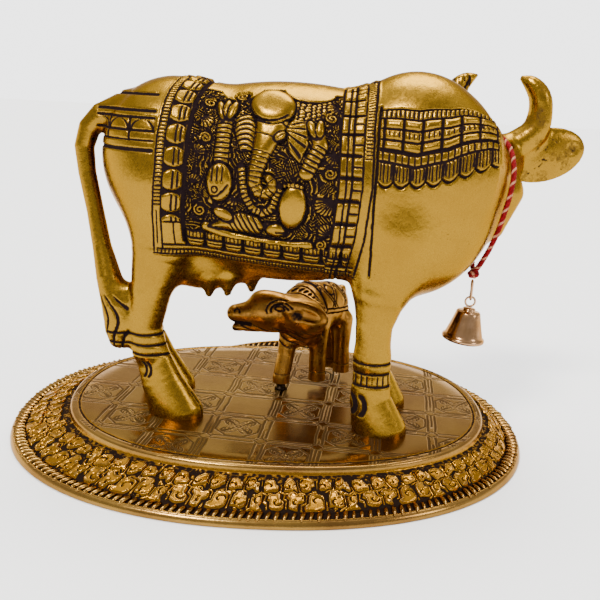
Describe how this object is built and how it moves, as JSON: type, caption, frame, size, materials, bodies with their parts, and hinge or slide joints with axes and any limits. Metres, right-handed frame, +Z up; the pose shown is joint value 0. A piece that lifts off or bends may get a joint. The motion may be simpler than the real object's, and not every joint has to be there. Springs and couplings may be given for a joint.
{
  "type": "cow and calf statue",
  "caption": "Cast cow statue in antique gold finish, with a calf under her belly, a bell on a neck thread and an oval plate as its base.",
  "frame": {"origin": "middle of the oval plate, on its flat underside", "axes": "+Z up, +X along the plate's long axis towards the cow's chest, -Y towards the side with the carving in the picture"},
  "size_m": [0.2612, 0.1956, 0.1693],
  "materials": {
    "plate_gold": "polished antique gold plating, darker and pinker than the cow",
    "antique_gold": "antique gold plating with black patina in the carving",
    "dark_steel": "blackened",
    "cotton": "red and cream twisted thread",
    "bell_metal": "polished, nickel-brown"
  },
  "bodies": {
    "root": {"oval_plate": "plate_gold", "cow": "antique_gold", "calf": "antique_gold", "calf_nut": "dark_steel", "neck_thread": "cotton", "thread_knot": "cotton", "wire_hook": "bell_metal", "bell_ring": "bell_metal", "bell": "bell_metal"}
  },
  "joints": []
}
